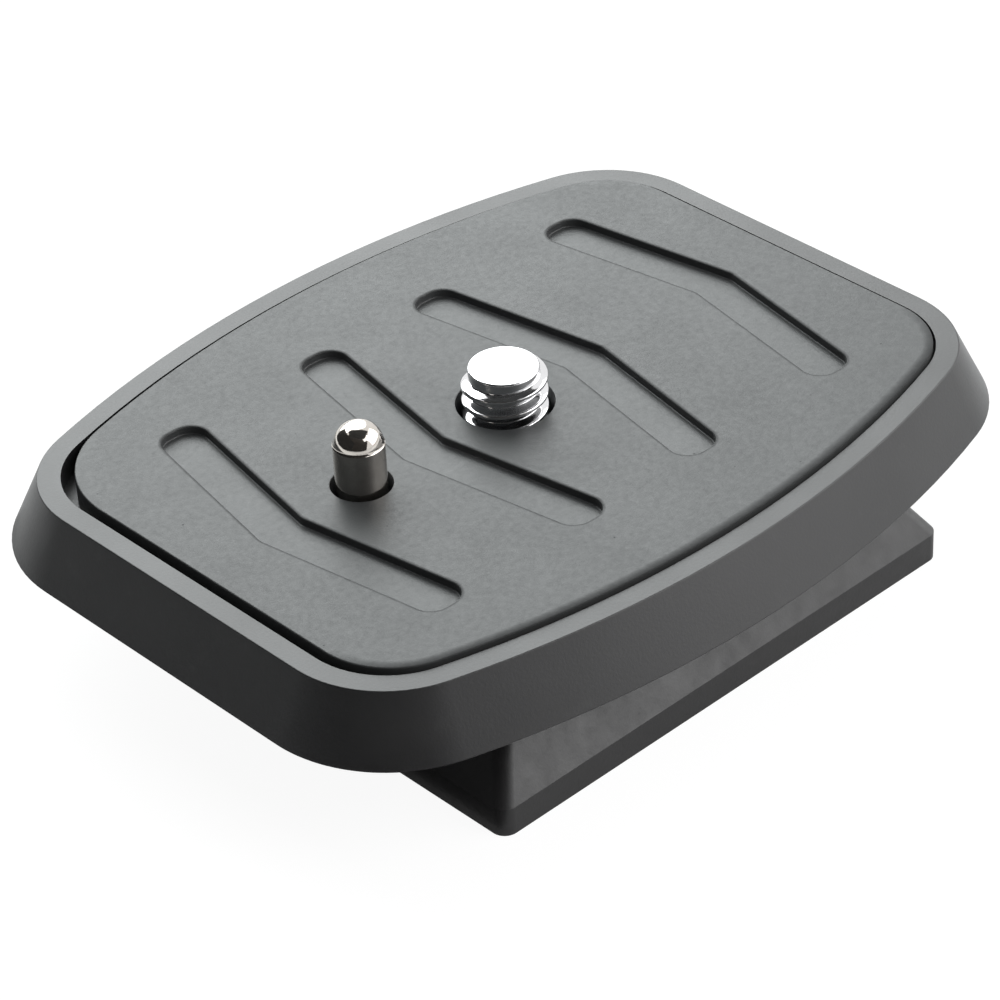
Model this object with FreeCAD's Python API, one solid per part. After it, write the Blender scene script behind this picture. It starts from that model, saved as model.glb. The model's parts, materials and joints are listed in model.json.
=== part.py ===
"""Tripod quick release plate with a captive camera screw and a sprung anti-twist pin.

Units are millimetres. +X runs along the plate, +Y across it and +Z up. The origin is the
centre of the foot's bottom plane, below the camera screw. The anti-twist pin is on the -X side.
"""
import FreeCAD
import Part
import math
import os

# Plate outline, at the top of the rim
plate_length = 62.0
plate_width = 48.8
side_radius = 85.0
corner_radius = 8.6

# Plate heights and walls
plate_height = 14.3
skirt_height = 5.0
skirt_flare = 2.4
skirt_wall = 2.0
rim_width = 1.7
rim_edge_round = 0.12
deck_thickness = 2.2
rib_thickness = 1.4

# Rubber pad
pad_side_gap = 0.4
pad_end_gap = 0.6
pad_thickness = 2.2
pad_proud = 0.3
pad_edge_round = 0.25
groove_inner_bend = 7.9
groove_outer_bend = 21.75
groove_width = 3.7
groove_half_length = 15.0
groove_lean = 9.8
groove_depth = 0.6
groove_end_round = 1.5
groove_bend_round = 1.2

# Square dovetail foot
foot_size = 44.7
foot_lip_height = 2.25
foot_slope = 33.2
foot_wall = 2.0
foot_corner_radius = 1.1

# Camera screw, 1/4 inch by 20 threads per inch
thread_diameter = 6.35
thread_stand = 3.1
pilot_diameter = 5.24
pilot_height = 0.8
pilot_edge_chamfer = 0.15
shank_diameter = 6.0
screw_bore_clearance = 0.35
screw_pad_clearance = 0.45
screw_float = 2.0
hub_floor = 1.9
hub_wall = 1.8
head_diameter = 12.0
head_thickness = 3.6
head_edge_chamfer = 0.4
slot_width = 1.8
slot_depth = 1.2

# Retaining clip in the screw's groove
clip_thickness = 0.7
clip_width = 2.1
clip_play = 0.2
clip_head_room = 0.2
clip_side_room = 0.6
clip_groove_depth = 0.5
clip_running_gap = 0.05

# Folding wire ring of the screw
ring_wire = 1.6
ring_side_gap = 0.6
ring_bend_radius = 1.3
ring_pin_depth = 2.0
ring_pin_gap = 0.05
ring_hole_spare = 0.2

# Anti-twist pin
pin_spacing = 14.0
pin_diameter = 3.76
pin_stand = 5.0
pin_tip_height = 1.5
pin_tip_flat = 1.3
pin_tip_bulge = 0.63
pin_pad_clearance = 0.55
pin_shank_step = 0.22
pin_running_gap = 0.05
pin_flange_step = 0.3
pin_flange_thickness = 1.0
pin_stub_step = 0.6
pin_stub_length = 1.8
chamber_gap = 0.1
chamber_wall = 1.3

# Pin spring
spring_wire = 0.4
spring_side_gap = 0.3
spring_turns = 4.25
spring_wire_sides = 8
spring_end_gap = 0.03

# Cover that closes the spring chamber, and its two screws
cover_recess = 0.4
cover_thickness = 1.4
cover_corner_radius = 2.0
cover_edge = 2.0
cover_screw_spacing = 12.4
cover_screw_diameter = 1.9
cover_screw_length = 5.0
cover_screw_head = 3.4
cover_screw_head_rim = 0.25
cover_screw_gap = 0.02
cover_screw_tip = 0.6
cover_screw_boss_wall = 1.2
pilot_spare = 0.8

# Levels worked out from the sizes above
pad_top = plate_height + pad_proud
pad_floor = pad_top - pad_thickness
deck_bottom = pad_floor - deck_thickness
skirt_bottom = plate_height - skirt_height
clip_seat = pad_floor - clip_thickness - screw_float - clip_head_room
hub_bottom = clip_seat - hub_floor
head_top = hub_bottom - screw_float
head_bottom = head_top - head_thickness
ring_level = head_top - head_thickness / 2
cover_top = cover_recess + cover_thickness

# Radii worked out from the sizes above
thread_radius = thread_diameter / 2
pilot_radius = pilot_diameter / 2
shank_radius = shank_diameter / 2
clip_groove_radius = shank_radius - clip_groove_depth
clip_bore = clip_groove_radius + clip_running_gap
clip_outer = clip_bore + clip_width
counterbore = clip_outer + clip_side_room
hub_radius = counterbore + hub_wall
head_radius = head_diameter / 2
pin_radius = pin_diameter / 2
pin_shank = pin_radius + pin_shank_step
pin_flange = pin_shank + pin_flange_step
pin_stub = pin_shank - pin_stub_step
chamber_radius = pin_flange + chamber_gap
chamber_boss = chamber_radius + chamber_wall
cover_screw_radius = cover_screw_diameter / 2
cover_screw_boss = cover_screw_radius + cover_screw_boss_wall
slope_run = math.tan(math.radians(foot_slope))
foot_wall_level = foot_wall / math.cos(math.radians(foot_slope))

UP = FreeCAD.Vector(0, 0, 1)
PIN_AT = FreeCAD.Vector(-pin_spacing, 0, 0)


def vec(x, y, z):
    return FreeCAD.Vector(x, y, z)


def rod(radius, low, high, at=FreeCAD.Vector()):
    """Upright cylinder between two levels."""
    return Part.makeCylinder(radius, high - low, at + vec(0, 0, low))


def block(x_low, x_high, y_low, y_high, z_low, z_high):
    return Part.makeBox(x_high - x_low, y_high - y_low, z_high - z_low, vec(x_low, y_low, z_low))


def turned(profile, at=FreeCAD.Vector()):
    """Solid of revolution about an upright axis from (radius, level) points."""
    points = [vec(r, 0, z) + at for r, z in profile]
    face = Part.Face(Part.makePolygon(points + points[:1]))
    return face.revolve(at, UP, 360)


def plate_outline(inset, level, shorter=0):
    """Barrel outline: bowed long sides, straight ends and round corners, all tangent."""
    half_x = plate_length / 2 - inset - shorter
    half_y = plate_width / 2 - inset
    bow = side_radius - inset
    corner = corner_radius - inset
    corner_x = half_x - corner
    bow_y = half_y - bow
    corner_y = bow_y + math.sqrt((bow - corner) ** 2 - corner_x ** 2)
    lean = math.atan2(corner_x, corner_y - bow_y)
    mid = (math.pi / 2 - lean) / 2
    joint = vec(corner_x + corner * math.sin(lean), corner_y + corner * math.cos(lean), level)
    corner_mid = vec(corner_x + corner * math.cos(mid), corner_y + corner * math.sin(mid), level)

    def flip(p, x_sign, y_sign):
        return vec(p.x * x_sign, p.y * y_sign, p.z)

    def arc(a, b, c):
        return Part.Arc(a, b, c).toShape()

    end = vec(half_x, corner_y, level)
    edges = [
        Part.makeLine(flip(end, 1, -1), end),
        arc(end, corner_mid, joint),
        arc(joint, vec(0, half_y, level), flip(joint, -1, 1)),
        arc(flip(joint, -1, 1), flip(corner_mid, -1, 1), flip(end, -1, 1)),
        Part.makeLine(flip(end, -1, 1), flip(end, -1, -1)),
        arc(flip(end, -1, -1), flip(corner_mid, -1, -1), flip(joint, -1, -1)),
        arc(flip(joint, -1, -1), vec(0, -half_y, level), flip(joint, 1, -1)),
        arc(flip(joint, 1, -1), flip(corner_mid, 1, -1), flip(end, 1, -1)),
    ]
    return Part.Wire(edges)


def rounded_rectangle(half_x, half_y, corner, level, at=FreeCAD.Vector()):
    """Closed wire of a rectangle with round corners."""
    inner_x = half_x - corner
    inner_y = half_y - corner
    bulge = corner * math.sqrt(0.5)
    edges = []
    for x_sign, y_sign in ((1, 1), (-1, 1), (-1, -1), (1, -1)):
        on_end = vec(x_sign * half_x, y_sign * inner_y, level) + at
        on_side = vec(x_sign * inner_x, y_sign * half_y, level) + at
        middle = vec(x_sign * (inner_x + bulge), y_sign * (inner_y + bulge), level) + at
        first, last = (on_end, on_side) if x_sign * y_sign > 0 else (on_side, on_end)
        if edges:
            edges.append(Part.makeLine(edges[-1].lastVertex(True).Point, first))
        edges.append(Part.Arc(first, middle, last).toShape())
    edges.append(Part.makeLine(edges[-1].lastVertex(True).Point, edges[0].firstVertex(True).Point))
    return Part.Wire(edges)


def loft(*wires):
    return Part.makeLoft(list(wires), True, True)


def prism(wire, height):
    return Part.Face(wire).extrude(vec(0, 0, height))


def edges_at(shape, level, tolerance=1e-4):
    """Edges that lie wholly in one level plane."""
    return [e for e in shape.Edges
            if abs(e.BoundBox.ZMin - level) < tolerance and abs(e.BoundBox.ZMax - level) < tolerance]


def upright_edges(shape):
    return [e for e in shape.Edges if e.BoundBox.ZLength > 1e-4
            and e.BoundBox.XLength < 1e-4 and e.BoundBox.YLength < 1e-4]


def foot_half(level):
    """Half width of the dovetail foot at a level."""
    return foot_size / 2 - max(0, level - foot_lip_height) * slope_run


def foot_form(wall, top):
    """Square dovetail with an upright lip, drawn in on every side by a wall."""
    corner = max(foot_corner_radius - wall, foot_corner_radius / 2)

    def section(level):
        half = foot_half(level) - wall
        return rounded_rectangle(half, half, corner, level)

    lip = prism(section(0), foot_lip_height)
    return lip.fuse(loft(section(foot_lip_height), section(top)))


def skirt_inset(level):
    """Inset of the flared skirt's outside at a level, negative where it stands out."""
    return -skirt_flare * (plate_height - level) / skirt_height


def tray():
    """Rim, recess floor and flared skirt, hollow below."""
    outside = loft(plate_outline(0, plate_height), plate_outline(-skirt_flare, skirt_bottom))
    edge = min(rim_edge_round, rim_width / 3)
    outside = outside.makeFillet(edge, edges_at(outside, plate_height) + edges_at(outside, skirt_bottom))
    recess = prism(plate_outline(rim_width, pad_floor), plate_height - pad_floor)
    hollow = loft(plate_outline(skirt_inset(skirt_bottom) + skirt_wall, skirt_bottom),
                  plate_outline(skirt_inset(deck_bottom) + skirt_wall, deck_bottom))
    return outside.cut(recess).cut(hollow)


def flange_ribs(foot_outside):
    """Ribs below the flange that tie the skirt to the foot's neck."""
    half = rib_thickness / 2
    reach_x = plate_length / 2
    reach_y = plate_width / 2
    neck = foot_half(deck_bottom)
    ribs = []
    for offset in (-neck / 2, neck / 2):
        ribs.append(block(-reach_x, reach_x, offset - half, offset + half, skirt_bottom, pad_floor))
        ribs.append(block(offset - half, offset + half, -reach_y, reach_y, skirt_bottom, pad_floor))
    ribs.append(block(-reach_x, reach_x, -chamber_boss, chamber_boss, skirt_bottom, pad_floor))
    space = loft(plate_outline(skirt_inset(skirt_bottom) + skirt_wall / 2, skirt_bottom),
                 plate_outline(skirt_inset(pad_floor) + skirt_wall, pad_floor))
    return [rib.common(space).cut(foot_outside) for rib in ribs]


def pocket_bosses(foot_outside):
    """Screw hub, spring chamber, cover screw bosses and ribs inside the hollow foot."""
    half = rib_thickness / 2
    reach = foot_size / 2
    under_deck = deck_bottom + deck_thickness / 2
    rib_low = (hub_bottom + deck_bottom) / 2 - hub_floor / 2
    web_low = cover_top + cover_thickness
    solids = [rod(hub_radius, hub_bottom, under_deck), rod(chamber_boss, cover_top, under_deck, PIN_AT)]
    for angle in (0, 60, 120, 240, 300):
        rib = block(0, 2 * reach, -half, half, rib_low, under_deck)
        rib.rotate(FreeCAD.Vector(), UP, angle)
        solids.append(rib)
    solids.append(block(-2 * reach, -pin_spacing, -half, half, web_low, under_deck))
    spread = cover_screw_spacing / 2
    solids.append(block(-pin_spacing - half, -pin_spacing + half, -spread, spread, web_low, under_deck))
    for side in (-1, 1):
        at = PIN_AT + vec(0, side * spread, 0)
        solids.append(rod(cover_screw_boss, cover_top, under_deck, at))
        solids.append(block(-2 * reach, -pin_spacing, side * spread - half, side * spread + half,
                            web_low, under_deck))
    return [solid.common(foot_outside) for solid in solids]


def plate_body():
    """One moulding: tray, skirt and hollow dovetail foot, with the bores for screw and pin."""
    under_deck = deck_bottom + deck_thickness / 2
    foot_outside = foot_form(0, under_deck)
    pocket = foot_form(foot_wall_level, deck_bottom)
    foot = foot_outside.cut(pocket)
    body = tray().fuse([foot] + flange_ribs(foot_outside) + pocket_bosses(foot_outside))
    bores = [
        rod(counterbore, clip_seat, pad_floor),
        rod(thread_radius + screw_bore_clearance, hub_bottom, clip_seat),
        rod(pin_shank + pin_running_gap, deck_bottom, pad_floor, PIN_AT),
        rod(chamber_radius, cover_top, deck_bottom, PIN_AT),
    ]
    for side in (-1, 1):
        at = PIN_AT + vec(0, side * cover_screw_spacing / 2, 0)
        pilot_top = cover_recess + cover_screw_length + pilot_spare
        bores.append(rod(cover_screw_radius + cover_screw_gap, cover_top, pilot_top, at))
    return body.cut(bores).removeSplitter()


def groove(bend):
    """Cutter for one chevron groove, its bend pointing away from the plate's middle."""
    outward = math.copysign(1, bend)
    back = groove_half_length * math.tan(math.radians(groove_lean))
    half = groove_width / 2
    end = bend - outward * back
    bottom = pad_top - groove_depth
    points = [
        vec(bend - half, 0, bottom), vec(end - half, groove_half_length, bottom),
        vec(end + half, groove_half_length, bottom), vec(bend + half, 0, bottom),
        vec(end + half, -groove_half_length, bottom), vec(end - half, -groove_half_length, bottom),
    ]
    cutter = prism(Part.makePolygon(points + points[:1]), groove_depth)
    bends = [e for e in upright_edges(cutter) if abs(e.BoundBox.YMin) < half]
    cutter = cutter.makeFillet(groove_bend_round, bends)
    ends = [e for e in upright_edges(cutter) if abs(e.BoundBox.YMin) > groove_half_length - half]
    return cutter.makeFillet(min(groove_end_round, 0.45 * groove_width), ends)


def top_pad():
    """Rubber pad in the recess, with four chevron grooves and holes for screw and pin."""
    outline = plate_outline(rim_width + pad_side_gap, pad_floor, pad_end_gap - pad_side_gap)
    pad = prism(outline, pad_thickness)
    pad = pad.makeFillet(pad_edge_round, edges_at(pad, pad_top))
    cuts = [groove(side * bend) for side in (-1, 1) for bend in (groove_inner_bend, groove_outer_bend)]
    cuts.append(rod(thread_radius + screw_pad_clearance, pad_floor, pad_top))
    cuts.append(rod(pin_radius + pin_pad_clearance, pad_floor, pad_top, PIN_AT))
    return pad.cut(cuts)


def camera_screw():
    """Turned screw: slotted head, clip groove in the shank, camera thread and plain pilot end."""
    groove_top = clip_seat + clip_thickness
    groove_low = groove_top - clip_thickness - clip_play
    top = pad_top + thread_stand
    pilot_low = top - pilot_height
    screw = turned([
        (0, head_bottom), (head_radius - head_edge_chamfer, head_bottom),
        (head_radius, head_bottom + head_edge_chamfer), (head_radius, head_top - head_edge_chamfer),
        (head_radius - head_edge_chamfer, head_top), (shank_radius, head_top),
        (shank_radius, groove_low), (clip_groove_radius, groove_low),
        (clip_groove_radius, groove_top), (shank_radius, groove_top),
        (shank_radius, pad_top), (thread_radius, pad_top),
        (thread_radius, pilot_low - thread_radius + pilot_radius), (pilot_radius, pilot_low),
        (pilot_radius, top - pilot_edge_chamfer), (pilot_radius - pilot_edge_chamfer, top), (0, top),
    ])
    slot = block(-head_radius, head_radius, -slot_width / 2, slot_width / 2,
                 head_bottom, head_bottom + slot_depth)
    cuts = [slot]
    for side in (-1, 1):
        hole_end = head_radius - ring_pin_depth - ring_hole_spare
        cuts.append(Part.makeCylinder(ring_wire / 2 + ring_pin_gap, head_radius,
                                      vec(0, side * hole_end, ring_level), vec(0, side, 0)))
    return screw.cut(cuts)


def retaining_clip():
    """Flat snap ring in the screw's groove, open on one side so that it can be pushed on."""
    ring = rod(clip_outer, clip_seat, clip_seat + clip_thickness)
    bore = rod(clip_bore, clip_seat, clip_seat + clip_thickness)
    mouth_half = 0.85 * clip_bore
    mouth = block(0, 2 * clip_outer, -mouth_half, mouth_half, clip_seat, clip_seat + clip_thickness)
    cuts = [bore, mouth]
    relief = clip_width / 4
    for angle in (120, 240):
        at = vec(clip_bore * math.cos(math.radians(angle)), clip_bore * math.sin(math.radians(angle)), 0)
        cuts.append(rod(relief, clip_seat, clip_seat + clip_thickness, at))
    return ring.cut(cuts)


def d_ring():
    """Bent wire ring, folded flat around the +X side of the screw head."""
    wire_radius = ring_wire / 2
    bow = head_radius + ring_side_gap + wire_radius
    bend = ring_bend_radius
    bend_y = bow - bend
    inner = head_radius - ring_pin_depth

    def section(x, y, along):
        return Part.Face(Part.Wire(Part.makeCircle(wire_radius, vec(x, y, ring_level), along)))

    stretches = []
    for side in (-1, 1):
        outward = vec(0, side, 0)
        stretches.append(section(0, side * inner, outward).extrude(outward * (bend_y - inner)))
        bend_centre = vec(bend, side * bend_y, ring_level)
        stretches.append(section(0, side * bend_y, outward).revolve(bend_centre, UP, -90 * side))
    stretches.append(section(bend, -bow, vec(1, 0, 0)).revolve(vec(bend, 0, ring_level), UP, 180))
    return stretches[0].fuse(stretches[1:]).removeSplitter()


def video_pin():
    """Turned anti-twist pin: domed nose, guided shank, stop flange and spring stub."""
    tip = pad_top + pin_stand
    tip_radius = pin_tip_flat / 2
    bulge = tip_radius + pin_tip_bulge * (pin_radius - tip_radius)
    flange_low = deck_bottom - pin_flange_thickness
    return turned([
        (0, flange_low - pin_stub_length), (pin_stub, flange_low - pin_stub_length),
        (pin_stub, flange_low), (pin_flange, flange_low), (pin_flange, deck_bottom),
        (pin_shank, deck_bottom), (pin_shank, pad_floor), (pin_radius, pad_floor),
        (pin_radius, tip - pin_tip_height), (bulge, tip - pin_tip_height / 3),
        (tip_radius, tip), (0, tip),
    ], PIN_AT)


def pin_spring():
    """Compression coil between the cover and the pin's flange, its wire a slim regular prism."""
    wire_radius = spring_wire / 2
    coil = chamber_radius - spring_side_gap - wire_radius
    low = cover_top + spring_end_gap + wire_radius
    high = deck_bottom - pin_flange_thickness - spring_end_gap - wire_radius
    height = high - low
    path = Part.Wire(Part.makeHelix(height / spring_turns, height, coil))
    corners = []
    for side in range(spring_wire_sides + 1):
        angle = 2 * math.pi * side / spring_wire_sides
        corners.append(vec(coil + wire_radius * math.cos(angle), 0, wire_radius * math.sin(angle)))
    section = Part.makePolygon(corners)
    spring = path.makePipeShell([section], True, True)
    spring.translate(PIN_AT + vec(0, 0, low))
    return spring


def cover_screw_points():
    spread = cover_screw_spacing / 2
    return [PIN_AT + vec(0, side * spread, 0) for side in (-1, 1)]


def cover_screw_profile(gap):
    """Countersunk screw profile, its head flush with the cover's underside."""
    head = cover_screw_head / 2 + gap
    shaft = cover_screw_radius + gap
    rim = cover_recess + cover_screw_head_rim
    end = cover_recess + cover_screw_length
    return [(0, cover_recess), (head, cover_recess), (head, rim), (shaft, rim + head - shaft),
            (shaft, end - cover_screw_tip), (shaft / 3, end), (0, end)]


def pin_cover():
    """Flat cover below the spring chamber, countersunk for its two screws."""
    half_y = cover_screw_spacing / 2 + cover_edge
    cover = prism(rounded_rectangle(chamber_boss, half_y, cover_corner_radius, cover_recess, PIN_AT),
                  cover_thickness)
    return cover.cut([turned(cover_screw_profile(cover_screw_gap), at) for at in cover_screw_points()])


def cover_screws():
    return Part.makeCompound([turned(cover_screw_profile(0), at) for at in cover_screw_points()])


NODES = {
    "plate_body": plate_body,
    "top_pad": top_pad,
    "camera_screw": camera_screw,
    "retaining_clip": retaining_clip,
    "d_ring": d_ring,
    "video_pin": video_pin,
    "pin_spring": pin_spring,
    "pin_cover": pin_cover,
    "cover_screws": cover_screws,
}

os.makedirs("parts", exist_ok=True)
for name, make in NODES.items():
    shape = make()
    shape.exportStep("parts/" + name + ".step")
    print(name, "solids", len(shape.Solids), "volume", round(shape.Volume, 2), "valid", shape.isValid())
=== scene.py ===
"""Looks of a tripod quick release plate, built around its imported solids.

Sizes are in metres, worked out from the frame's boxes and mounts or named here in millimetres.
"""
import json
import math

import bmesh
import bpy
from mathutils import Matrix, Vector


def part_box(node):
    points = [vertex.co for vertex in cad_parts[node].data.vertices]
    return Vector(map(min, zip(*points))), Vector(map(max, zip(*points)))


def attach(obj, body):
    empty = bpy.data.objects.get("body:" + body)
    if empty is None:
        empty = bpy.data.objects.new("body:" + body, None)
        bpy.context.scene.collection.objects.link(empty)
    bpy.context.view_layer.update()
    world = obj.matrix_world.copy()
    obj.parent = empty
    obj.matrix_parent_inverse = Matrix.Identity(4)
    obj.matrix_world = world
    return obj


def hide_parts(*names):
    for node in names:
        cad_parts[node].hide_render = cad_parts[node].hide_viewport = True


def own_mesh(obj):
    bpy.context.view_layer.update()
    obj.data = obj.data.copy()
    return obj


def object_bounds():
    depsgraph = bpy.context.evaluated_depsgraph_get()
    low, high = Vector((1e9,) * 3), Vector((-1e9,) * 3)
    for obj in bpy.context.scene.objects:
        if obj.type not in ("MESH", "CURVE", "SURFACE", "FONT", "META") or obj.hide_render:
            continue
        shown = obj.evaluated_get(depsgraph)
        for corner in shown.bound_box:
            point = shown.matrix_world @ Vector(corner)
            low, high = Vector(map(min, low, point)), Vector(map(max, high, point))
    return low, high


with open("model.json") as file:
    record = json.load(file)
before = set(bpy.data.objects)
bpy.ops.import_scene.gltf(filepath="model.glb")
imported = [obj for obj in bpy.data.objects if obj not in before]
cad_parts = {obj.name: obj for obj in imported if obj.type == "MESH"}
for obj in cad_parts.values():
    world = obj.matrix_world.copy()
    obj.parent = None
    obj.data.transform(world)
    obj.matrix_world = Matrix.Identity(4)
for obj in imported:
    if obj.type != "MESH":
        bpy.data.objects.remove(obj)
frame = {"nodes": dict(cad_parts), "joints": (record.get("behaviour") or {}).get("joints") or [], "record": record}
cad_low, cad_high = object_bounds()

mm = 0.001
TURN = 2 * math.pi
ORIGIN = Vector((0, 0))
UP = Vector((0, 0, 1))

# Axes and sizes that the mounts and joints give
mounts = {mount["name"]: mount for mount in frame["record"]["mounts"]}
joints = {joint["name"]: joint for joint in frame["joints"]}
screw_axis = Vector(mounts["camera_thread"]["pos_m"][:2])
thread_crest_radius = mounts["camera_thread"]["dims"]["r_mm"] * mm
pin_axis = Vector(mounts["anti_twist_pin"]["pos_m"][:2])
pin_nose_radius = mounts["anti_twist_pin"]["dims"]["r_mm"] * mm
ring_level = joints["ring_fold"]["pos_m"][2]

# View of the photograph, in degrees and about the middle of the rim's top; azimuth 0 is +X and 90 is +Y
view_azimuth = -131.95
view_elevation = 35.255
view_roll = -3.085
view_distance = 271.2 * mm
view_right = 0.398 * mm
view_up = 6.889 * mm
view_lens = 134.9
view_sensor = 36
view_clip = (10 * mm, 10)

# Rubber pad; its corners go anticlockwise from +X +Y
pad_side_radius = 82.9 * mm
pad_corner_radii = (6.5 * mm, 8.4 * mm, 6.5 * mm, 6.5 * mm)
pad_edge_round = 0.12 * mm
pad_lower_chamfer = 0.15 * mm
pad_shift = Vector((0.12 * mm, -0.1 * mm))
pad_spread = 0.1 * mm
screw_pad_clearance = 0.45 * mm
pin_pad_clearance = 0.38 * mm
hole_edge_round = 0.06 * mm

# Painted shade along the pad's -Y edge, as a multiple of the darkening (dirt and painted shade) at a groove's edge
pad_edge_shade_amount = 2.2
pad_edge_shade_width = 0.65 * mm

# Chevron grooves of the pad
groove_bends = (-21.62 * mm, -8.15 * mm, 7.9 * mm, 21.75 * mm)
groove_shift = Vector((0.1 * mm, 0))
groove_turn = Matrix.Rotation(math.radians(-0.9), 2)
groove_width = 3.7 * mm
groove_half_length = 14.9 * mm
groove_lean = math.radians(9.8)
groove_depth = 0.62 * mm
groove_end_round = 1.5 * mm
groove_bend_round = 1.2 * mm
groove_edge_round = 0.12 * mm
groove_floor_round = 0.1 * mm

# Camera screw, 1/4 inch by 20 threads per inch; its crests are measured down from its top
thread_pitch = 25.4 / 20 * mm
thread_depth = 0.69 * mm
thread_crest_flat = thread_pitch / 8
thread_root_flat = thread_pitch / 4
thread_below_pad = 3.0 * mm
thread_front_crest = 1.2 * mm
thread_end_crest = 0.35 * mm
thread_fade = 0.25 * mm
shank_radius = 3.0 * mm
clip_groove_radius = 2.5 * mm
clip_groove_width = 0.9 * mm
head_thickness = 3.6 * mm
head_edge_round = 0.4 * mm
pilot_radius = 2.62 * mm
pilot_height = 0.8 * mm
pilot_edge_round = 0.14 * mm
slot_width = 1.8 * mm
slot_depth = 1.2 * mm

# Folding ring
ring_wire = 1.6 * mm
ring_bend_radius = 1.3 * mm
ring_hole_gap = 0.05 * mm
ring_hole_depth = 2.2 * mm

# Anti-twist pin and its spring
pin_tip_height = 1.5 * mm
pin_tip_radius = 0.55 * mm
pin_dome_pull = (1.62 * mm, 0.25 * mm)
pin_shoulder_chamfer = 0.07 * mm
pin_shank_radius = 2.1 * mm
pin_stub_radius = 1.5 * mm
pin_stub_length = 1.8 * mm
pin_flange_thickness = 1.0 * mm
spring_wire = 0.4 * mm
spring_turns = 4.25

# Cover screws
cover_screw_radius = 0.95 * mm
cover_screw_head_rim = 0.25 * mm
cover_screw_tip_length = 0.6 * mm
cover_screw_tip_radius = cover_screw_radius / 3
cross_slot_width = 0.55 * mm
cross_slot_length = 2.1 * mm
cross_slot_depth = 0.75 * mm
cross_slot_taper = 0.4

# Scuffs of the dovetail foot
scuff_top = 8.5 * mm
scuff_fade = 1 * mm

# Floor and world; the floor has one glow and tone in reflections, and another to the camera
floor_size = (3, 3)
floor_tone = 0.95
floor_mirrored = (0.12, 0.85)
floor_seen = (0.93, 0.14)
world_fill = 0.2
world_white = 1.0

# Painted shadow: a dark card beside the foot, just above the floor, that only reflections see
floor_shadow_card_place = Vector((-45.5 * mm, -4 * mm, 0.05 * mm))
floor_shadow_card_size = (45 * mm, 90 * mm)

# Mesh fineness
ARC_STEP = math.radians(6)
CHORD_GAP = 0.003 * mm
FLAT_BORDER = 0.15 * mm
ROUND_STEPS = 5
DOME_STEPS = 16
THREAD_STEP = 0.025 * mm
AROUND = 144
COVER_SCREW_AROUND = 64
RING_HOLE_AROUND = 32
RING_WIRE_AROUND = 24
SPRING_WIRE_AROUND = 16
SPRING_TURN_STEPS = 48
MERGE_GAP = 0.001 * mm
CUT_MARGIN = 1 * mm
FLAT_FACE_WEIGHT = 100

# Spans that hold most of a noise's values
NARROW = (0.35, 0.65)
WIDE = (0.3, 0.7)


# Points and meshes

def polar(angle):
    return Vector((math.cos(angle), math.sin(angle)))


def arc_loop(arcs):
    """Points and outward normals along anticlockwise arcs; straight stretches join one arc to the next."""
    loop = []
    for centre, radius, start, end in arcs:
        widest = min(ARC_STEP, math.sqrt(8 * CHORD_GAP / abs(radius)))
        steps = max(2, math.ceil(abs(end - start) / widest))
        for step in range(steps + 1):
            normal = polar(start + (end - start) * step / steps)
            point = centre + normal * radius
            if not loop or (point - loop[-1][0]).length > MERGE_GAP:
                loop.append((point, normal))
    if (loop[-1][0] - loop[0][0]).length < MERGE_GAP:
        loop.pop()
    return loop


def rounded_polygon(corners, radii):
    """Arcs of a closed anticlockwise outline with rounded corners; a hollow corner's radius is negative."""
    arcs = []
    for index, corner in enumerate(corners):
        before = corner - corners[index - 1]
        after = corners[(index + 1) % len(corners)] - corner
        start = math.atan2(before.y, before.x) - TURN / 4
        turn = math.atan2(before.x * after.y - before.y * after.x, before.dot(after))
        radius = math.copysign(radii[index], turn)
        first = polar(start)
        last = polar(start + turn)
        centre = corner - (first + last) * (radius / (1 + first.dot(last)))
        arcs.append((centre, radius, start, start + turn))
    return arcs


def circle(centre, radius, count=AROUND):
    """Points and outward normals round a circle."""
    normals = [polar(TURN * i / count) for i in range(count)]
    return [(centre + normal * radius, normal) for normal in normals]


def quarter():
    """Cosines and sines over a quarter turn."""
    angles = [TURN / 4 * i / ROUND_STEPS for i in range(ROUND_STEPS + 1)]
    return [(math.cos(angle), math.sin(angle)) for angle in angles]


def rolled_edge(level, radius):
    """Steps (outset, level) from a flat border over a rounded edge into an opening."""
    steps = [(radius + FLAT_BORDER, level)]
    steps += [(radius * (1 - s), level + radius * (c - 1)) for c, s in quarter()]
    return steps


def skin(bm, rings):
    """Faces between consecutive rings of points; a ring of one point closes the end."""
    layers = [[bm.verts.new(point) for point in ring] for ring in rings]
    for low, high in zip(layers, layers[1:]):
        count = max(len(low), len(high))
        for i in range(count):
            j = (i + 1) % count
            corners = (low[i % len(low)], low[j % len(low)], high[j % len(high)], high[i % len(high)])
            bm.faces.new(tuple(dict.fromkeys(corners)))
    return layers


def paint(bm, name, layers, values):
    """Give the vertices of some rings their values in a named layer; all others have 0."""
    mark = bm.verts.layers.float[name]
    for layer in layers:
        for vertex, value in zip(layer, values):
            vertex[mark] = value


def swept(bm, loop, profile):
    """Skin of a loop along (outset, level) steps."""
    rings = [[(*(point + normal * outset), level) for point, normal in loop] for outset, level in profile]
    return skin(bm, rings)


def fill(bm, *layers):
    """Flat triangles inside the first ring of vertices and outside the others."""
    edges = []
    for layer in layers:
        for i, vertex in enumerate(layer):
            edges.append(bm.edges.get((layer[i - 1], vertex)))
    bmesh.ops.triangle_fill(bm, use_beauty=True, use_dissolve=False, edges=edges)


def turned_rings(profile, centre=ORIGIN, count=AROUND):
    """Rings of a surface of revolution from (radius, level) points; on the axis a ring is one point."""
    rings = []
    for radius, level in profile:
        if radius == 0:
            rings.append([(*centre, level)])
        else:
            rings.append([(*point, level) for point, _ in circle(centre, radius, count)])
    return rings


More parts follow.
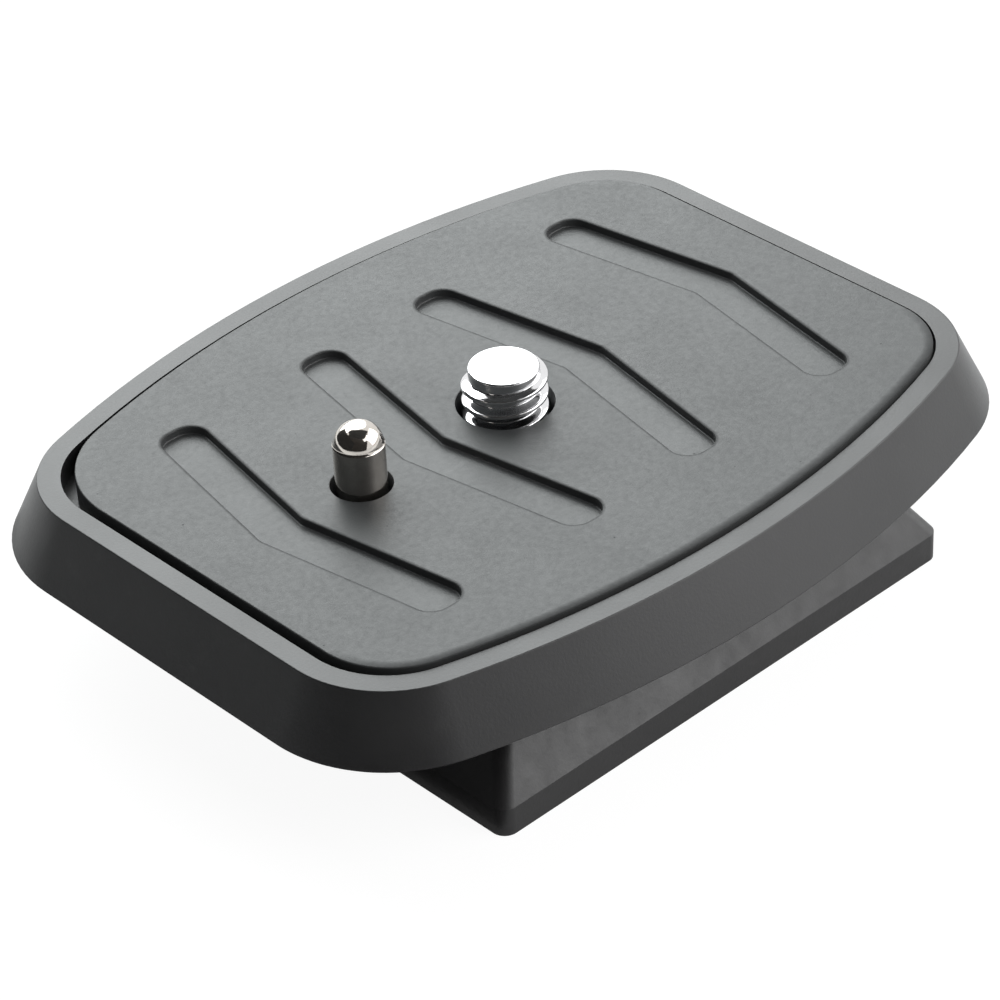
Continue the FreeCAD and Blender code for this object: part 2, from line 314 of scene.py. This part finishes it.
def tube(bm, path, radius, count):
    """Round wire along points with a side vector and an up vector each, with flat ends."""
    normals = [normal for _, normal in circle(ORIGIN, 1, count)]
    rings = [[path[0][0]]]
    for point, side, up in path:
        rings.append([point + side * (radius * normal.x) + up * (radius * normal.y) for normal in normals])
    rings.append([path[-1][0]])
    skin(bm, rings)


def mesh_from(bm, name):
    """Mesh of finished faces, all turned outward."""
    bmesh.ops.recalc_face_normals(bm, faces=bm.faces)
    mesh = bpy.data.meshes.new(name)
    bm.to_mesh(mesh)
    bm.free()
    return mesh


def new_object(name, data):
    thing = bpy.data.objects.new(name, data)
    bpy.context.scene.collection.objects.link(thing)
    return thing


def cut(mesh, cutters):
    """Mesh with the cutters' volumes taken out of it."""
    piece = new_object("blank", mesh)
    tools = []
    for cutter in cutters:
        tool = new_object("cutter", cutter)
        tools.append(tool)
        change = piece.modifiers.new("cut", "BOOLEAN")
        change.operation = "DIFFERENCE"
        change.solver = "EXACT"
        change.object = tool
    depsgraph = bpy.context.evaluated_depsgraph_get()
    result = bpy.data.meshes.new_from_object(piece.evaluated_get(depsgraph))
    for extra in [piece] + tools:
        bpy.data.objects.remove(extra)
    return result


def block(low, high, top_share=1):
    """Box mesh; its top may be narrower than its bottom."""
    bm = bmesh.new()
    centre = (Vector(low) + Vector(high)) / 2
    half = (Vector(high) - Vector(low)) / 2
    bmesh.ops.create_cube(bm, size=2)
    for vertex in bm.verts:
        share = top_share if vertex.co.z > 0 else 1
        offset = Vector((vertex.co.x * half.x * share, vertex.co.y * half.y * share, vertex.co.z * half.z))
        vertex.co = centre + offset
    return mesh_from(bm, "block")


def dress(name, mesh, body, slot, *nodes, sharp=35):
    """Finished piece that rides on a body and stands for its CAD nodes; sharp is in degrees."""
    mesh.shade_smooth()
    mesh.set_sharp_from_angle(angle=math.radians(sharp))
    mesh.materials.clear()
    mesh.materials.append(materials[slot])
    piece = new_object(name, mesh)
    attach(piece, body)
    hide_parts(*nodes)
    return piece


def even_shading(piece):
    """Shade large flat faces flat, and let the rounds between them take up the turn."""
    weights = piece.modifiers.new("flat_faces_first", "WEIGHTED_NORMAL")
    weights.keep_sharp = True
    weights.weight = FLAT_FACE_WEIGHT


# Shader nodes

def feed(tree, socket, value):
    """Link a socket to another one, or set its number or colour."""
    if isinstance(value, bpy.types.NodeSocket):
        tree.links.new(value, socket)
    elif socket.type == "RGBA":
        socket.default_value = (*value, 1)
    else:
        socket.default_value = value


def new_finish(name, **sockets):
    """Material with its tree and its shader, whose named sockets have one value all over."""
    finish = bpy.data.materials.new(name)
    finish.use_nodes = True
    tree = finish.node_tree
    shader = tree.nodes["Principled BSDF"]
    for socket, value in sockets.items():
        feed(tree, shader.inputs[socket.replace("_", " ")], value)
    return finish, tree, shader


def place_on_piece(tree):
    return tree.nodes.new("ShaderNodeTexCoord").outputs["Object"]


def noise(tree, size, detail=3, roughness=0.55, stretch=(1, 1, 1)):
    """Noise with features of about one size, fixed to the piece."""
    mapping = tree.nodes.new("ShaderNodeMapping")
    mapping.inputs["Scale"].default_value = stretch
    texture = tree.nodes.new("ShaderNodeTexNoise")
    for socket, value in (("Scale", 1 / size), ("Detail", detail), ("Roughness", roughness)):
        texture.inputs[socket].default_value = value
    tree.links.new(place_on_piece(tree), mapping.inputs["Vector"])
    tree.links.new(mapping.outputs["Vector"], texture.inputs["Vector"])
    return texture.outputs["Fac"]


def spread(tree, source, span, result=(0, 1)):
    """Source mapped from one span of values to another, held at the ends."""
    node = tree.nodes.new("ShaderNodeMapRange")
    for socket, value in zip(("From Min", "From Max", "To Min", "To Max"), (*span, *result)):
        node.inputs[socket].default_value = value
    tree.links.new(source, node.inputs["Value"])
    return node.outputs["Result"]


def specks(tree, spacing, radius, core=0.4):
    """1 in the core of small round specks scattered over the piece, fading to 0 at their radius."""
    texture = tree.nodes.new("ShaderNodeTexVoronoi")
    texture.inputs["Scale"].default_value = 1 / spacing
    texture.inputs["Randomness"].default_value = 1
    tree.links.new(place_on_piece(tree), texture.inputs["Vector"])
    edge = radius / spacing
    return spread(tree, texture.outputs["Distance"], (edge, edge * core))


def below(tree, level, fade):
    """1 below a level, fading to 0 above it."""
    parts = tree.nodes.new("ShaderNodeSeparateXYZ")
    tree.links.new(place_on_piece(tree), parts.inputs["Vector"])
    return spread(tree, parts.outputs["Z"], (level, level + fade), (1, 0))


def painted(tree, name):
    """Value that a named layer of the mesh holds."""
    node = tree.nodes.new("ShaderNodeAttribute")
    node.attribute_name = name
    return node.outputs["Fac"]


def mixed(tree, factor, first, second):
    """Colour between two colours or colour sockets."""
    node = tree.nodes.new("ShaderNodeMix")
    node.data_type = "RGBA"
    tree.links.new(factor, node.inputs["Factor"])
    feed(tree, node.inputs[6], first)
    feed(tree, node.inputs[7], second)
    return node.outputs[2]


def combined(tree, first, second, operation="ADD"):
    """Sum of two numbers or sockets, or the result of another operation on them."""
    node = tree.nodes.new("ShaderNodeMath")
    node.operation = operation
    feed(tree, node.inputs[0], first)
    feed(tree, node.inputs[1], second)
    return node.outputs[0]


def scaled(tree, source, factor):
    return combined(tree, source, factor, "MULTIPLY")


def bumped(tree, shader, height, depth):
    """Relief of a depth, in metres, from a 0..1 height."""
    node = tree.nodes.new("ShaderNodeBump")
    node.inputs["Strength"].default_value = 1
    node.inputs["Distance"].default_value = depth
    tree.links.new(height, node.inputs["Height"])
    tree.links.new(node.outputs["Normal"], shader.inputs["Normal"])


# Finishes

def black_plastic():
    """Moulded satin plastic: near black, finely grained, more scuffed below the skirt."""
    finish, tree, shader = new_finish("black_plastic", IOR=1.57)
    cloud = noise(tree, 9 * mm, detail=4)
    tone = mixed(tree, spread(tree, cloud, NARROW), (0.0165, 0.016, 0.017), (0.0215, 0.021, 0.022))
    marks = spread(tree, noise(tree, 2.2 * mm, detail=6, roughness=0.7), (0.58, 0.75), (0, 0.5))
    feed(tree, shader.inputs["Base Color"], mixed(tree, marks, tone, (0.032, 0.032, 0.032)))
    grain = noise(tree, 0.22 * mm, detail=2)
    patches = combined(tree, scaled(tree, cloud, 0.7), scaled(tree, grain, 0.3))
    roughness = spread(tree, patches, NARROW, (0.34, 0.42))
    wear = spread(tree, noise(tree, 1.6 * mm, detail=7, roughness=0.72), WIDE, (-0.08, 0.08))
    scuffs = scaled(tree, wear, below(tree, scuff_top, scuff_fade))
    feed(tree, shader.inputs["Roughness"], combined(tree, roughness, scuffs))
    bumped(tree, shader, grain, 0.008 * mm)
    return finish


def grey_rubber():
    """Smooth moulded rubber: dark grey, softly mottled and dusty, with dirt and painted shade at the edges and
    painted light in the groove floors.
    """
    finish, tree, shader = new_finish("grey_rubber", IOR=1.5)
    cloud = noise(tree, 7 * mm, detail=5, roughness=0.6)
    tone = mixed(tree, spread(tree, cloud, NARROW), (0.040, 0.0425, 0.0435), (0.049, 0.0515, 0.0525))
    smudge = spread(tree, noise(tree, 3 * mm, detail=6, roughness=0.7), (0.62, 0.78), (0, 0.35))
    dust = scaled(tree, specks(tree, 3.1 * mm, 0.10 * mm), 0.3)
    # Painted light: the groove floors are lighter than the pad's top
    groove_floor_light = scaled(tree, painted(tree, "floor"), 0.3)
    # Darker at the groove edges and the pad's -Y edge: dirt and painted shade
    dirt_and_shade = scaled(tree, painted(tree, "edge"), 0.2)
    for amount, colour in ((smudge, (0.028, 0.030, 0.030)), (dust, (0.02, 0.02, 0.02)),
                           (groove_floor_light, (0.075, 0.078, 0.079)), (dirt_and_shade, (0.012, 0.012, 0.012))):
        tone = mixed(tree, amount, tone, colour)
    feed(tree, shader.inputs["Base Color"], tone)
    grain = noise(tree, 0.18 * mm, detail=2)
    patches = combined(tree, scaled(tree, cloud, 0.75), scaled(tree, grain, 0.25))
    roughness = spread(tree, patches, NARROW, (0.41, 0.47))
    wear = spread(tree, noise(tree, 0.5 * mm, detail=5, roughness=0.75), WIDE, (-0.06, 0.06))
    for change in (wear, scaled(tree, groove_floor_light, -0.1), combined(tree, dirt_and_shade, dust)):
        roughness = combined(tree, roughness, change)
    feed(tree, shader.inputs["Roughness"], roughness)
    bumped(tree, shader, grain, 0.009 * mm)
    return finish


def plated(name, light, dark, roughness, tool_marks):
    """Plated metal with faint tool marks along its turning direction."""
    finish, tree, shader = new_finish(name, Metallic=1.0)
    cloud = noise(tree, 1.5 * mm, detail=4)
    feed(tree, shader.inputs["Base Color"], mixed(tree, spread(tree, cloud, (0.35, 0.7)), light, dark))
    feed(tree, shader.inputs["Roughness"], spread(tree, cloud, WIDE, roughness))
    bumped(tree, shader, noise(tree, 0.35 * mm, stretch=(0.25, 0.25, 3)), tool_marks)
    return finish


def brushed(name, light, dark, roughness):
    """Plain steel or zinc with a fine drawn grain."""
    finish, tree, shader = new_finish(name, Metallic=1.0)
    cloud = noise(tree, 2 * mm, detail=5)
    feed(tree, shader.inputs["Base Color"], mixed(tree, spread(tree, cloud, WIDE), light, dark))
    grain = noise(tree, 0.1 * mm)
    feed(tree, shader.inputs["Roughness"], spread(tree, grain, WIDE, roughness))
    bumped(tree, shader, grain, 0.004 * mm)
    return finish


materials = {
    "black_plastic": black_plastic(),
    "grey_rubber": grey_rubber(),
    "chrome_screw": plated("chrome_screw", (0.86, 0.86, 0.87), (0.79, 0.79, 0.80), (0.05, 0.11), 0.004 * mm),
    "nickel_pin": plated("nickel_pin", (0.70, 0.66, 0.61), (0.57, 0.53, 0.49), (0.05, 0.11), 0.002 * mm),
    "plated_wire": plated("plated_wire", (0.74, 0.73, 0.71), (0.60, 0.59, 0.57), (0.16, 0.352), 0.003 * mm),
    "spring_steel": brushed("spring_steel", (0.46, 0.45, 0.44), (0.34, 0.33, 0.32), (0.28, 0.448)),
    "zinc_screw": brushed("zinc_screw", (0.62, 0.62, 0.60), (0.48, 0.48, 0.46), (0.24, 0.384)),
}


# Pieces

def pad_outline():
    """Barrel outline: straight ends, round corners and bowed long sides, all tangent."""
    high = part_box("top_pad")[1]
    bow = Vector((0, high.y + pad_spread - pad_side_radius))
    corners = []
    for radius in pad_corner_radii:
        across = high.x + pad_spread - radius
        along = math.sqrt((pad_side_radius - radius) ** 2 - across ** 2)
        corners.append((radius, Vector((across, along)), math.atan2(across, along)))
    up = TURN / 4
    arcs = []
    for half_turn in (0, 1):
        sign = 1 - 2 * half_turn
        base = half_turn * TURN / 2
        (first, near, lean_near), (last, far, lean_far) = corners[2 * half_turn:2 * half_turn + 2]
        far = Vector((-far.x, far.y))
        arcs.append((pad_shift + (bow + near) * sign, first, base, base + up - lean_near))
        arcs.append((pad_shift + bow * sign, pad_side_radius, base + up - lean_near, base + up + lean_far))
        arcs.append((pad_shift + (bow + far) * sign, last, base + up + lean_far, base + 2 * up))
    return arc_loop(arcs)


def groove_loop(bend):
    """Outline of one chevron groove, its bend pointing away from the plate's middle."""
    outward = math.copysign(1, bend)
    end = -outward * groove_half_length * math.tan(groove_lean)
    half = groove_width / 2
    middle = groove_shift + Vector((bend, 0))
    corners = [middle + groove_turn @ Vector(point) for point in (
        (end - half, -groove_half_length), (end + half, -groove_half_length), (half, 0),
        (end + half, groove_half_length), (end - half, groove_half_length), (-half, 0))]
    radii = [groove_end_round, groove_end_round, groove_bend_round] * 2
    return arc_loop(rounded_polygon(corners, radii))


def rubber_pad():
    """Pad with a rounded edge, four chevron grooves and the holes for the screw and the pin."""
    low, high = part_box("top_pad")
    top, floor = high.z, low.z
    bm = bmesh.new()
    bm.verts.layers.float.new("edge")
    bm.verts.layers.float.new("floor")
    edge = [(pad_edge_round * (c - 1), top + pad_edge_round * (s - 1)) for c, s in quarter()]
    edge.append((-pad_edge_round - pad_edge_shade_width, top))
    loop = pad_outline()
    outline = swept(bm, loop, [(-pad_lower_chamfer, floor), (0, floor + pad_lower_chamfer)] + edge)
    # Painted shade on the pad's rounded edge, strongest on its -Y side
    paint(bm, "edge", outline[1:-1], [pad_edge_shade_amount * max(0, -normal.y) for _, normal in loop])
    top_rings = [outline[-1]]
    floor_rings = [outline[0]]

    lip = rolled_edge(top, groove_edge_round)
    groove_floor = top - groove_depth
    soft = groove_floor_round
    foot = [(soft * (c - 1), groove_floor + soft * (1 - s)) for c, s in quarter()]
    foot.append((-soft - FLAT_BORDER, groove_floor))
    for bend in groove_bends:
        layers = swept(bm, groove_loop(bend), lip + foot)
        everywhere = [1] * len(layers[0])
        # Dirt and painted shade along the groove edges
        paint(bm, "edge", layers[1:len(lip)], everywhere)
        # Marks the groove floors for their painted lighter tone
        paint(bm, "floor", layers[-2:], everywhere)
        top_rings.append(layers[0])
        fill(bm, layers[-1])

    rim = rolled_edge(top, hole_edge_round)
    for centre, radius in ((screw_axis, thread_crest_radius + screw_pad_clearance),
                           (pin_axis, pin_nose_radius + pin_pad_clearance)):
        layers = swept(bm, circle(centre, radius), rim + [(0, floor)])
        top_rings.append(layers[0])
        floor_rings.append(layers[-1])
    fill(bm, *top_rings)
    fill(bm, *floor_rings)

    pad = dress("rubber_pad", mesh_from(bm, "rubber_pad"), "plate", "grey_rubber", "top_pad", sharp=50)
    even_shading(pad)


def thread_radius(angle, depth):
    """Radius of the screw's thread at an angle and a depth below the screw's top."""
    from_front = (angle - math.radians(view_azimuth)) / TURN
    crest_here = thread_front_crest - thread_pitch * from_front
    crest_depth = crest_here + round((depth - crest_here) / thread_pitch) * thread_pitch
    flank = (thread_pitch - thread_crest_flat - thread_root_flat) / 2
    away = min(1, max(0, (abs(depth - crest_depth) - thread_crest_flat / 2) / flank))
    height = 1 - away * away * (3 - 2 * away)
    fade = min(1, max(0, (crest_depth - thread_end_crest) / thread_fade))
    thread = thread_crest_radius - thread_depth * (1 - height * fade)
    return max(thread, pilot_radius) if depth < pilot_height else thread


def ring_holes(head_radius):
    """Cutters for the two holes in the screw's head that the ring's ends turn in."""
    radius = ring_wire / 2 + ring_hole_gap
    end = ring_hole_depth + CUT_MARGIN
    profile = [(0, 0), (radius, 0), (radius, end), (0, end)]
    holes = []
    for side in (-1, 1):
        bm = bmesh.new()
        skin(bm, turned_rings(profile, count=RING_HOLE_AROUND))
        place = Matrix.Translation((0, side * (head_radius - ring_hole_depth), ring_level))
        turn = Matrix.Rotation(-side * TURN / 4, 4, "X")
        bmesh.ops.transform(bm, matrix=place @ turn, verts=bm.verts)
        holes.append(mesh_from(bm, "ring_hole"))
    return holes


def threaded_screw():
    """Screw with a slotted head, a clip groove, a real thread and a plain pilot end."""
    low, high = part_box("camera_screw")
    head_radius = high.x
    head_top = low.z + head_thickness
    groove_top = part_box("retaining_clip")[1].z
    groove_low = groove_top - clip_groove_width
    thread_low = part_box("top_pad")[1].z - thread_below_pad
    thread_top = high.z - pilot_edge_round
    soft = head_edge_round
    profile = [(0, low.z)]
    profile += [(head_radius + soft * (s - 1), low.z + soft * (1 - c)) for c, s in quarter()]
    profile += [(head_radius + soft * (c - 1), head_top + soft * (s - 1)) for c, s in quarter()]
    profile += [(shank_radius, head_top), (shank_radius, groove_low), (clip_groove_radius, groove_low),
                (clip_groove_radius, groove_top), (shank_radius, groove_top), (shank_radius, thread_low)]
    rings = turned_rings(profile)
    steps = math.ceil((thread_top - thread_low) / THREAD_STEP)
    angles = [TURN * i / AROUND for i in range(AROUND)]
    for step in range(1, steps + 1):
        level = thread_low + (thread_top - thread_low) * step / steps
        rings.append([(*(polar(angle) * thread_radius(angle, high.z - level)), level) for angle in angles])
    pilot_edge = [(pilot_radius + pilot_edge_round * (c - 1), high.z + pilot_edge_round * (s - 1))
                  for c, s in quarter()[1:]]
    rings += turned_rings(pilot_edge + [(0, high.z)])
    bm = bmesh.new()
    skin(bm, rings)

    slot = block((-head_radius - CUT_MARGIN, -slot_width / 2, low.z - CUT_MARGIN),
                 (head_radius + CUT_MARGIN, slot_width / 2, low.z + slot_depth))
    mesh = cut(mesh_from(bm, "threaded_screw"), [slot] + ring_holes(head_radius))
    dress("threaded_screw", mesh, "screw", "chrome_screw", "camera_screw", sharp=60)


def turned_pin():
    """Pin with a domed nose, a guided shank, a stop flange and a spring stub."""
    low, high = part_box("video_pin")
    nose = pin_nose_radius
    flange = (high.x - low.x) / 2
    flange_low = low.z + pin_stub_length
    flange_top = flange_low + pin_flange_thickness
    shank_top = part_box("top_pad")[0].z
    shoulder = high.z - pin_tip_height
    profile = [(0, low.z), (pin_stub_radius, low.z), (pin_stub_radius, flange_low), (flange, flange_low),
               (flange, flange_top), (pin_shank_radius, flange_top), (pin_shank_radius, shank_top),
               (nose, shank_top), (nose, shoulder - pin_shoulder_chamfer)]
    start = Vector((nose - pin_shoulder_chamfer, shoulder))
    pull = Vector((pin_dome_pull[0], high.z - pin_dome_pull[1]))
    end = Vector((pin_tip_radius, high.z))
    for i in range(DOME_STEPS + 1):
        t = i / DOME_STEPS
        profile.append(tuple(start * (1 - t) ** 2 + pull * 2 * t * (1 - t) + end * t ** 2))
    bm = bmesh.new()
    skin(bm, turned_rings(profile + [(0, high.z)], pin_axis))
    dress("turned_pin", mesh_from(bm, "turned_pin"), "pin", "nickel_pin", "video_pin", sharp=40)


def wire_ring():
    """Folding ring bent from round wire, its ends in the screw's head."""
    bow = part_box("d_ring")[1].y - ring_wire / 2
    bend = ring_bend_radius
    start = Vector((0, -(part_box("camera_screw")[1].y - ring_hole_depth + ring_hole_gap)))
    arcs = [
        (Vector((bend, bend - bow)), bend, TURN / 2, TURN * 3 / 4),
        (Vector((bend, 0)), bow, -TURN / 4, TURN / 4),
        (Vector((bend, bow - bend)), bend, TURN / 4, TURN / 2),
    ]
    inward = Vector((-1, 0))
    line = [(start, inward)] + arc_loop(arcs) + [(start * -1, inward)]
    path = [(Vector((*point, ring_level)), Vector((*normal, 0)), UP) for point, normal in line]
    bm = bmesh.new()
    tube(bm, path, ring_wire / 2, RING_WIRE_AROUND)
    dress("wire_ring", mesh_from(bm, "wire_ring"), "ring", "plated_wire", "d_ring")


def coil_spring():
    """Compression spring under the pin."""
    low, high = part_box("pin_spring")
    coil = (high.x - low.x) / 2 - spring_wire / 2
    bottom = low.z + spring_wire / 2
    height = high.z - low.z - spring_wire
    count = math.ceil(spring_turns * SPRING_TURN_STEPS)
    path = []
    for i in range(count + 1):
        out = polar(TURN * spring_turns * i / count)
        point = Vector((*(pin_axis + out * coil), bottom + height * i / count))
        path.append((point, Vector((*out, 0)), UP))
    bm = bmesh.new()
    tube(bm, path, spring_wire / 2, SPRING_WIRE_AROUND)
    spring = dress("coil_spring", mesh_from(bm, "coil_spring"), "plate", "spring_steel", "pin_spring")
    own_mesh(spring)


def cross_screws():
    """Two countersunk screws with cross recesses, flush with the cover."""
    low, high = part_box("cover_screws")
    head = (high.x - low.x) / 2
    neck = cover_screw_radius
    rim = low.z + cover_screw_head_rim
    profile = [(0, low.z), (head, low.z), (head, rim), (neck, rim + head - neck),
               (neck, high.z - cover_screw_tip_length), (cover_screw_tip_radius, high.z), (0, high.z)]
    half_width, half_length = cross_slot_width / 2, cross_slot_length / 2
    bm = bmesh.new()
    cutters = []
    for side in (-1, 1):
        centre = Vector(((low.x + high.x) / 2, side * (high.y - head)))
        skin(bm, turned_rings(profile, centre, COVER_SCREW_AROUND))
        middle = Vector((*centre, low.z))
        for half_x, half_y in ((half_width, half_length), (half_length, half_width)):
            half = Vector((half_x, half_y, cross_slot_depth))
            cutters.append(block(middle - half, middle + half, cross_slot_taper))
    mesh = cut(mesh_from(bm, "cross_screws"), cutters)
    dress("cross_screws", mesh, "plate", "zinc_screw", "cover_screws")


def moulded_body():
    """Body with the solid's own shape and one smooth shading over its tangent faces."""
    solid = frame["nodes"]["plate_body"]
    bm = bmesh.new()
    bm.from_mesh(solid.data)
    bmesh.ops.transform(bm, matrix=solid.matrix_world, verts=bm.verts)
    bmesh.ops.remove_doubles(bm, verts=bm.verts, dist=MERGE_GAP)
    mesh = mesh_from(bm, "moulded_body")
    if "custom_normal" in mesh.attributes:
        mesh.attributes.remove(mesh.attributes["custom_normal"])
    body = dress("moulded_body", mesh, "plate", "black_plastic", "plate_body", sharp=20)
    even_shading(body)


def finish_solid(node, slot):
    """Give a solid that is shown as it is its finish."""
    solid = frame["nodes"][node]
    solid.data.materials.clear()
    solid.data.materials.append(materials[slot])


# Camera, light and stage

def toward(azimuth, elevation):
    """Direction seen from the object, in degrees."""
    flat = polar(math.radians(azimuth)) * math.cos(math.radians(elevation))
    return Vector((*flat, math.sin(math.radians(elevation))))


def facing(place):
    """Turn that points an area lamp or a card at the object."""
    return place.to_track_quat("Z", "Y")


def aimed(azimuth, elevation, distance):
    """Place and turn of a lamp or a card that faces the object."""
    place = toward(azimuth, elevation) * distance
    return place, facing(place)


def put(thing, stand):
    """Bring a lamp or a plane to its place and turn."""
    thing.rotation_mode = "QUATERNION"
    thing.location, thing.rotation_quaternion = stand


def camera():
    """Camera of the photograph, with its roll and framing."""
    aim = Vector((0, 0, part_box("plate_body")[1].z))
    back = toward(view_azimuth, view_elevation)
    level = toward(view_azimuth + 90, 0)
    above = back.cross(level)
    roll = math.radians(view_roll)
    right = level * math.cos(roll) + above * math.sin(roll)
    up = above * math.cos(roll) - level * math.sin(roll)
    data = bpy.data.cameras.new("camera")
    data.lens = view_lens
    data.sensor_width = view_sensor
    data.clip_start, data.clip_end = view_clip
    eye = new_object("camera", data)
    place = Matrix((right, up, back)).transposed().to_4x4()
    place.translation = aim + back * view_distance - right * view_right - up * view_up
    eye.matrix_world = place
    bpy.context.scene.camera = eye


def softbox(name, stand, size, level, tint=(1, 1, 1)):
    """Large soft lamp whose face has a given brightness."""
    data = bpy.data.lights.new(name, "AREA")
    data.shape = "RECTANGLE"
    data.size, data.size_y = size
    data.energy = level * math.pi * size[0] * size[1]
    data.color = tint
    lamp = new_object(name, data)
    put(lamp, stand)
    lamp.visible_camera = False


def stage_plane(name, stand, size, material):
    """Flat rectangle that belongs to the stage."""
    bm = bmesh.new()
    bmesh.ops.create_grid(bm, x_segments=1, y_segments=1, size=0.5)
    mesh = mesh_from(bm, name)
    mesh.materials.append(material)
    plane = new_object(name, mesh)
    plane.scale = (*size, 1)
    put(plane, stand)
    return plane


def dark_card(name, stand, size, colour):
    """Dark card that only reflections see."""
    finish = new_finish(name, Base_Color=colour, Roughness=1)[0]
    card = stage_plane(name, stand, size, finish)
    card.visible_camera = False
    card.visible_diffuse = False
    card.visible_shadow = False


def bare_tree(owner):
    """Emptied shader tree of a material or a world, and the outputs that tell its rays of light apart."""
    owner.use_nodes = True
    tree = owner.node_tree
    tree.nodes.clear()
    return tree, tree.nodes.new("ShaderNodeLightPath").outputs


def mirrored(tree, rays):
    """1 for what is seen in a reflection or through glass."""
    return combined(tree, rays["Is Glossy Ray"], rays["Is Transmission Ray"], "MAXIMUM")


def shader_node(tree, kind, grey, **sockets):
    """Shader of one grey tone, with its other values."""
    node = tree.nodes.new(kind)
    node.inputs["Color"].default_value = (grey, grey, grey, 1)
    for socket, value in sockets.items():
        node.inputs[socket].default_value = value
    return node.outputs[0]


def joined(tree, kind, *shaders, factor=None):
    """Sum of shaders, or their mix by a factor."""
    node = tree.nodes.new(kind)
    if factor is not None:
        tree.links.new(factor, node.inputs[0])
    free = [socket for socket in node.inputs if socket.type == "SHADER"]
    for socket, shader in zip(free, shaders):
        tree.links.new(shader, socket)
    return node.outputs[0]


def white_floor():
    """Pale floor that reads white, to the eye and in reflections, and keeps the object's shadow."""
    finish = bpy.data.materials.new("white_floor")
    tree, rays = bare_tree(finish)
    surface = shader_node(tree, "ShaderNodeBsdfDiffuse", floor_tone)
    for kind, (level, tone) in ((mirrored(tree, rays), floor_mirrored), (rays["Is Camera Ray"], floor_seen)):
        glow = shader_node(tree, "ShaderNodeEmission", 1, Strength=level)
        shade = shader_node(tree, "ShaderNodeBsdfDiffuse", tone)
        seen = joined(tree, "ShaderNodeAddShader", glow, shade)
        surface = joined(tree, "ShaderNodeMixShader", surface, seen, factor=kind)
    output = tree.nodes.new("ShaderNodeOutputMaterial")
    tree.links.new(surface, output.inputs["Surface"])
    stage_plane("floor", ((0, 0, cad_low.z), facing(UP)), floor_size, finish)


def white_world():
    """World that is white to the eye and in reflections, and a soft even fill as light."""
    world = bpy.data.worlds.new("world")
    bpy.context.scene.world = world
    tree, rays = bare_tree(world)
    seen = combined(tree, rays["Is Camera Ray"], mirrored(tree, rays), "MAXIMUM")
    fill_light = shader_node(tree, "ShaderNodeBackground", 1, Strength=world_fill)
    white = shader_node(tree, "ShaderNodeBackground", 1, Strength=world_white)
    surface = joined(tree, "ShaderNodeMixShader", fill_light, white, factor=seen)
    output = tree.nodes.new("ShaderNodeOutputWorld")
    tree.links.new(surface, output.inputs["Surface"])


camera()
white_world()
white_floor()
softbox("back_softbox", aimed(69, 37, 0.7), size=(0.75, 0.55), level=4.12, tint=(0.955, 1, 1))
softbox("right_softbox", aimed(-36, 30, 0.6), size=(0.75, 0.5), level=2.1)
softbox("high_softbox", aimed(-85, 52, 0.6), size=(0.4, 0.3), level=1.6)
dark_card("camera_side_card", aimed(-150, 30, 0.45), size=(1.3, 1.1), colour=(0.022, 0.019, 0.017))
dark_card("overhead_card", aimed(-135, 86, 0.5), size=(0.6, 0.5), colour=(0.03, 0.03, 0.03))
dark_card("left_card", aimed(148, 24, 0.25), size=(0.6, 0.3), colour=(0.01, 0.01, 0.01))
# Painted shadow on the floor by the foot, seen only in reflections
dark_card("left_floor_shadow_card", (floor_shadow_card_place, facing(UP)), size=floor_shadow_card_size, colour=(0.01, 0.01, 0.01))

rubber_pad()
threaded_screw()
turned_pin()
wire_ring()
coil_spring()
cross_screws()
moulded_body()
finish_solid("pin_cover", "black_plastic")
finish_solid("retaining_clip", "spring_steel")

bpy.context.scene.view_settings.view_transform = "Standard"
